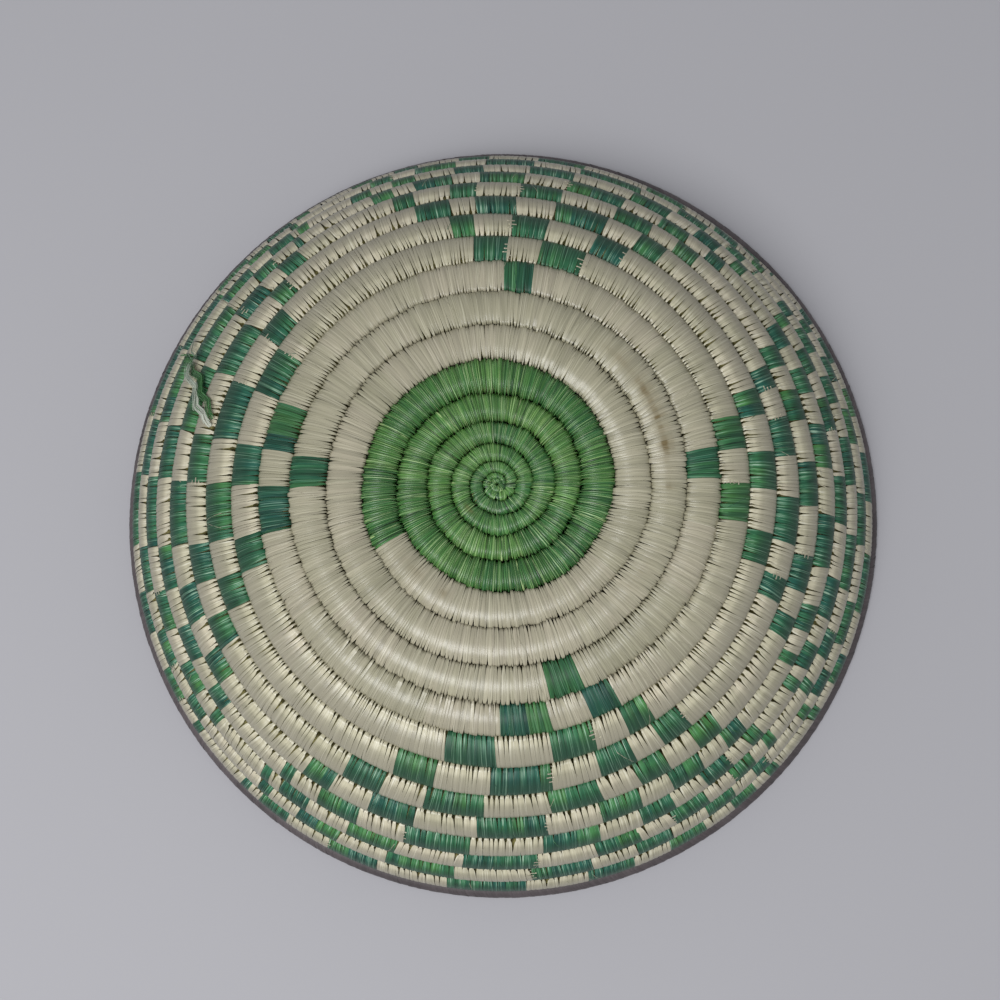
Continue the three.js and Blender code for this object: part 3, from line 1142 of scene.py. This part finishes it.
knot_form = ribbon_form("knot stitch", KNOT_RIDGE, KNOT_INNER_SLIT, KNOT_OUTER_SLIT)
bm = bmesh.new()
for inner, outer, count, rise in KNOT_RINGS:
    for number in range(count):
        place = stitch_place((number + 0.5) / count - 1, draw.uniform(*KNOT_WIDTHS) / count,
                             around(KNOT_LEAN) / count, draw.uniform(*KNOT_SIZES), around(KNOT_TILT),
                             draw.uniform(*KNOT_REACHES))
        dye = (draw.random(), draw.uniform(*KNOT_TONES), 0, 0)
        stamp(bm, knot_form, knot_ring(inner, outer, rise) @ place, 0, dye)
finished_piece("centre_knot_stitches", bm, on_knot, [centre_raffia], ["centre_knot"])
print("stitches in the knot:", sum(count for _, _, count, _ in KNOT_RINGS))

# %% Fibres across the knot
KNOT_FIBRES = 26
KNOT_FIBRE_WIDTH = 0.2
KNOT_FIBRE_LEAN = 0.12
KNOT_FIBRE_SIZES = (1.03, 1.08)
KNOT_FIBRE_TONES = (-0.3, 1.3)

bm = bmesh.new()
for _ in range(KNOT_FIBRES):
    inner, outer, count, rise = draw.choice(KNOT_RINGS)
    place = stitch_place(-draw.random(), KNOT_FIBRE_WIDTH / count, around(KNOT_FIBRE_LEAN),
                         draw.uniform(*KNOT_FIBRE_SIZES), 0)
    dye = (draw.random(), draw.uniform(*KNOT_FIBRE_TONES), 0, 0)
    stamp(bm, plain_form, knot_ring(inner, outer, rise) @ place, 0, dye)
finished_piece("centre_knot_fibres", bm, on_knot, [centre_raffia], ["centre_knot"])
print("fibres across the knot:", KNOT_FIBRES)

# %% [markdown]
# ## The rim
# The last thin bundle is whipped with dark raffia, close and slightly slanted. A ring with a
# striped finish could pass for it from afar, but it is sewn like the rows, so that its outline is
# uneven too. The bowl stands on it, so its underside is pressed flat.

# %% Rim
RIM_HALF = 3 * MM
RIM_GAP = 0.25 * MM
RIM_OUT = 1.9 * MM
RIM_STITCHES = 560
RIM_STRANDS = (0.2, 0.8, 22)
RIM_OVERLAP = 1.1
RIM_WIDTHS = (0.9, 1.1)
RIM_LEAN = 0.9
RIM_SIZES = (0.98, 1.02)
RIM_TILT = 0.03
rim_middle = RIM_LENGTH + RIM_GAP + RIM_HALF


def on_rim(turn, along, off):
    """Points of the rim, with nothing below the floor."""
    length = np.full_like(turn, rim_middle)
    points = off_profile(length, turn, along * RIM_HALF, RIM_OUT + off * RIM_HALF)
    points[:, 2] = np.maximum(points[:, 2], 0)
    return points


bm = bmesh.new()
step = 1 / RIM_STITCHES
for number, tone in enumerate(strand_tones(RIM_STITCHES, *RIM_STRANDS)):
    place = stitch_place(number * step, RIM_OVERLAP * step * draw.uniform(*RIM_WIDTHS), RIM_LEAN * step,
                         draw.uniform(*RIM_SIZES), around(RIM_TILT))
    stamp(bm, plain_form, place, 0, (draw.random(), tone, 0, 0))
finished_piece("rim_binding_stitches", bm, on_rim, [dark_raffia], ["rim_binding"])
print("stitches on the rim:", RIM_STITCHES)

# %% [markdown]
# ## Routes of the loose ends
# Two ends of raffia were never trimmed and hang out of a groove, the cream one over the green.
# A simulation could drop them there, but the photograph shows where they lie. So each has a route,
# as its solid does: the azimuth in degrees, the row, and how far off the wall in millimetres.

# %% Routes of the loose ends
TAIL_TOP = 4.75 * MM
GREEN_TAIL = [
    (165.9, 10.0, 0.2), (164.9, 10.2, 0.8), (163.8, 10.4, 1.0), (162.7, 10.6, 1.0), (161.7, 10.8, 1.0),
    (160.7, 11.05, 1.0), (159.7, 11.3, 1.0), (158.8, 11.55, 1.0), (158.1, 11.8, 1.0), (157.7, 12.05, 1.0),
    (157.3, 12.3, 1.0), (156.8, 12.55, 1.0), (156.3, 12.8, 1.0), (155.8, 13.05, 1.0), (155.3, 13.3, 1.0),
    (155.0, 13.6, 1.0), (155.1, 13.85, 1.0),
]
CREAM_TAIL = [
    (167.4, 10.0, 0.2), (166.6, 10.25, 0.8), (165.7, 10.5, 1.0), (164.8, 10.7, 1.0), (163.7, 10.9, 1.0),
    (162.6, 11.1, 1.0), (161.6, 11.35, 1.0), (160.6, 11.6, 1.3), (159.4, 11.8, 2.2), (158.2, 12.0, 2.8),
    (157.0, 12.2, 2.8), (155.9, 12.45, 2.1), (154.9, 12.7, 1.3), (154.0, 12.95, 1.0), (153.2, 13.3, 1.0),
    (152.5, 13.65, 1.0), (151.9, 14.0, 1.0),
]
SMOOTH_STEPS = 4


def smoothed(points):
    """A smooth line through points, whose direction at each one follows its neighbours."""
    padded = np.vstack([2 * points[0] - points[1], points, 2 * points[-1] - points[-2]])
    share = np.arange(SMOOTH_STEPS)[:, None] / SMOOTH_STEPS
    runs = []
    for before, first, last, after in zip(padded, padded[1:], padded[2:], padded[3:]):
        out = 0.5 * (last - before)
        back = 0.5 * (after - first)
        bend = share**2 * (3 * (last - first) - 2 * out - back)
        bend = bend + share**3 * (2 * (first - last) + out + back)
        runs.append(first + share * out + bend)
    return np.vstack([*runs, points[-1:]])


def tail_track(route):
    """The middle line of a loose end, and the direction away from the bowl along it."""
    azimuth, row, lift = smoothed(np.array(route)).T
    turn = row + azimuth / DEGREES
    length = levelled(edge_length(turn), turn)
    middle = off_profile(length, azimuth / DEGREES, 0, TAIL_TOP + lift * MM)
    above = off_profile(length, azimuth / DEGREES, 0, TAIL_TOP + (lift + 1) * MM)
    return middle, (above - middle) / MM


print("points along a loose end:", len(tail_track(GREEN_TAIL)[0]))

# %% [markdown]
# ## Strands of a loose end
# An end that has been handled splits into flat strands, and fine fibres come away from them. A
# curve with a bevel would give a round cord. So a strand is a flat box, cut into short lengths
# and carried onto its track, where it narrows and twists.

# %% Strands on a track
STRAND_CUTS = 60
STRAND_THICKNESS = 0.1 * MM
STRAND_GRAINS = 4
SWAY_WAVES = 4
LIFT_SHARE = 0.4
LIFT_WAVES = 6
FLAT_AT = 0.35


def on_track(middle, outward, widths, twist):
    """Carries a flat strand onto a track. Its width changes along it, and it twists."""
    tangent = np.gradient(middle, axis=0)
    tangent /= np.linalg.norm(tangent, axis=1)[:, None]
    side = np.cross(tangent, outward)
    knots = np.linspace(0, 1, len(middle))

    def at(share, line):
        return np.stack([np.interp(share, knots, column) for column in line.T], axis=-1)

    def onto(share, across, off):
        across = across * np.interp(share, *zip(*widths))
        angle = twist * (share - FLAT_AT)
        sideways = across * np.cos(angle) - off * np.sin(angle)
        upward = across * np.sin(angle) + off * np.cos(angle)
        lifted = upward[:, None] * at(share, outward)
        return at(share, middle) + sideways[:, None] * at(share, side) + lifted

    return onto


def strip(bm, shares, width, offset, sway, tones):
    """A flat strand between two shares of a track, cut into short lengths, that changes its tone."""
    part = bmesh.new()
    bmesh.ops.create_cube(part, size=1)
    bmesh.ops.translate(part, vec=(0.5, 0, 0), verts=part.verts)
    cut_along(part, STRAND_CUTS)
    places = part.loops.layers.uv.new("ribbon")
    dye = part.verts.layers.float_color.new("dye")
    for face in part.faces:
        for loop in face.loops:
            loop[places].uv = (loop.vert.co.y + 0.5, STRAND_GRAINS * loop.vert.co.x)
    bmesh.ops.scale(part, vec=(shares[1] - shares[0], width, STRAND_THICKNESS), verts=part.verts)
    bmesh.ops.translate(part, vec=(shares[0], offset, 0), verts=part.verts)
    seed = draw.random()
    start = draw.uniform(0, math.tau)
    for vert in part.verts:
        share = vert.co.x
        vert[dye] = (seed, tones[0] + (tones[1] - tones[0]) * share, 0, 0)
        vert.co.y += sway * math.sin(start + SWAY_WAVES * share)
        vert.co.z += LIFT_SHARE * abs(sway) * math.cos(start + LIFT_WAVES * share)
    mesh = made_mesh("strand", part)
    bm.from_mesh(mesh)
    bpy.data.meshes.remove(mesh)


print("lengths in a strand:", STRAND_CUTS + 1)

# %% [markdown]
# ## The loose ends
# Each end has split into four strands, with fibres that sway beside them. It could lie as one
# flat ribbon, but the gaps between the strands are what makes it look torn. The cream end darkens
# toward its tip, where it is dyed.

# %% Loose ends
TAIL_DIAMETER = 1.4 * MM
GREEN_WIDTHS = [(0, 0.5), (0.2, 0.8), (0.4, 1.3), (0.6, 1.3), (0.75, 0.7), (1, 0.3)]
CREAM_WIDTHS = [(0, 0.8), (0.1, 1.3), (0.3, 1.2), (0.42, 0.7), (0.6, 0.4), (1, 0.3)]
GREEN_TWIST = math.radians(30)
CREAM_TWIST = math.radians(40)
GREEN_TONES = (0.8, 0.9)
CREAM_TONES = (1.1, 0.1)
SPLITS = [(-0.4, 0.24), (-0.17, 0.3), (0.12, 0.36), (0.4, 0.2)]
SPLIT_SWAY = 0.1 * TAIL_DIAMETER
FRAYED = [(0, 1.2), (0.2, 1.0), (0.6, 1.0), (1, 1.3)]
FIBRES = 22
FIBRE_WIDTH = 0.13 * MM
FIBRE_SHARES = (0.2, 0.5)
FIBRE_SWAY = 1.3 * MM
FIBRE_SWAYS = (0.3, 1)


def loose_end(name, route, widths, twist, tones, finish, node):
    """A ribbon along its route that has split into flat strands, with the fibres that came away."""
    middle, outward = tail_track(route)
    ribbon = bmesh.new()
    for offset, width in SPLITS:
        strip(ribbon, (0, 1), width * TAIL_DIAMETER, offset * TAIL_DIAMETER, SPLIT_SWAY, tones)
    onto = on_track(middle, outward, widths, twist)
    piece = finished_piece(name, ribbon, onto, [finish], [node])
    fibres = bmesh.new()
    for _ in range(FIBRES):
        first = draw.uniform(0, 1 - FIBRE_SHARES[1])
        shares = (first, first + draw.uniform(*FIBRE_SHARES))
        strip(fibres, shares, FIBRE_WIDTH, 0, FIBRE_SWAY * draw.uniform(*FIBRE_SWAYS), tones)
    onto = on_track(middle, outward, FRAYED, 0)
    frayed = finished_piece(f"{name}_fibres", fibres, onto, [finish], [node])


loose_raffia = raffia(
    "loose raffia",
    tones=[
        (0.0, (0.02, 0.09, 0.04)), (0.4, (0.16, 0.23, 0.16)),
        (0.6, (0.33, 0.38, 0.31)), (1.0, (0.5, 0.53, 0.45)),
    ],
    glint_colour=(0.75, 0.77, 0.68),
    shade_colour=(0.25, 0.25, 0.2),
    contrast=1.6, uneven=0.2, glints=0.8, roughness=0.36, specular=0.5,
)
loose_end("loose_green_strand", GREEN_TAIL, GREEN_WIDTHS, GREEN_TWIST, GREEN_TONES, check_raffia,
          "loose_end_green")
loose_end("loose_cream_strand", CREAM_TAIL, CREAM_WIDTHS, CREAM_TWIST, CREAM_TONES, loose_raffia,
          "loose_end_cream")

# %% [markdown]
# ## The floor
# The bowl lies on a plain pale floor. A curved backdrop would do as well, but the camera looks
# down, so one large square is enough.

# %% Floor
FLOOR_SIDE = 12.0
FLOOR_COLOUR = (0.395, 0.39, 0.414, 1)
FLOOR_ROUGHNESS = 0.9

bm = bmesh.new()
bmesh.ops.create_grid(bm, x_segments=1, y_segments=1, size=0.5 * FLOOR_SIDE)
floor_mesh = made_mesh("floor", bm)
floor_finish, floor_shader, _ = new_finish("pale floor")
plug(floor_shader, {"Base Color": FLOOR_COLOUR, "Roughness": FLOOR_ROUGHNESS})
floor_mesh.materials.append(floor_finish)
floor = placed("floor", floor_mesh)
print("side of the floor in metres:", FLOOR_SIDE)

# %% [markdown]
# ## The light
# The light is that of a room: an even sky all round, and one soft lamp from the lower left. A sun
# would draw hard shadows, and the sky alone would leave the raffia without its satin shine.

# %% Light
SKY_COLOUR = (0.95, 0.97, 1.0, 1)
SKY_STRENGTH = 0.53
LAMP_SIZE = 0.5
LAMP_ENERGY = 7.4
LAMP_PLACE = (-0.32, -0.43, 0.93)
LAMP_AIM = Vector((0, 0, 0.03))

world = bpy.data.worlds.new("room light")
scene.world = world
world.use_nodes = True
plug(world.node_tree.nodes["Background"], {"Color": SKY_COLOUR, "Strength": SKY_STRENGTH})

lamp = placed("soft lamp", bpy.data.lights.new("soft lamp", "AREA"))
lamp.data.size = LAMP_SIZE
lamp.data.energy = LAMP_ENERGY
lamp.location = LAMP_PLACE
lamp.rotation_euler = (LAMP_AIM - lamp.location).to_track_quat("-Z", "Y").to_euler()
print("lamp in watts:", LAMP_ENERGY)
